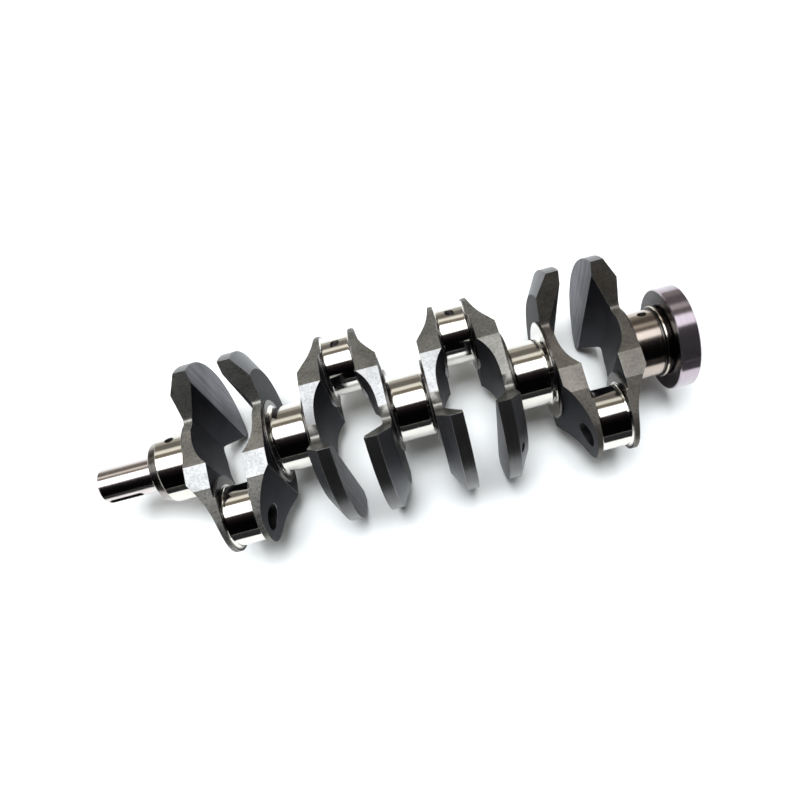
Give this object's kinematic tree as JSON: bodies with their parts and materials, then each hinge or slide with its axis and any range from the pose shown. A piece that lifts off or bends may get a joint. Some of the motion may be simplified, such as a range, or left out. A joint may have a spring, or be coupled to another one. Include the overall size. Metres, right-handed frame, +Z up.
{
  "type": "crankshaft",
  "caption": "Inline-four crankshaft: ground main journals and crankpins, webs with turned counterweights, keyed nose and flywheel flange.",
  "frame": {"origin": "centre of the third main journal, on the main axis", "axes": "+X along the main axis from the nose to the flywheel flange; crankpins 2 and 3 at +Y, crankpins 1 and 4 at -Y; +Z up, square to the plane of the throws"},
  "size_m": [0.45, 0.152, 0.1168],
  "materials": {
    "forged_steel": "satin",
    "turned_steel": "satin",
    "ground_steel": "polished"
  },
  "bodies": {
    "root": {"nose": "turned_steel", "nose_collar": "turned_steel", "main_journal_1": "ground_steel", "main_journal_2": "ground_steel", "main_journal_3": "ground_steel", "main_journal_4": "ground_steel", "main_journal_5": "ground_steel", "crank_pin_1": "ground_steel", "crank_pin_2": "ground_steel", "crank_pin_3": "ground_steel", "crank_pin_4": "ground_steel", "web_1": "forged_steel", "web_2": "forged_steel", "web_3": "forged_steel", "web_4": "forged_steel", "web_5": "forged_steel", "web_6": "forged_steel", "web_7": "forged_steel", "web_8": "forged_steel", "rear_land": "ground_steel", "flywheel_flange": "turned_steel"}
  },
  "joints": []
}
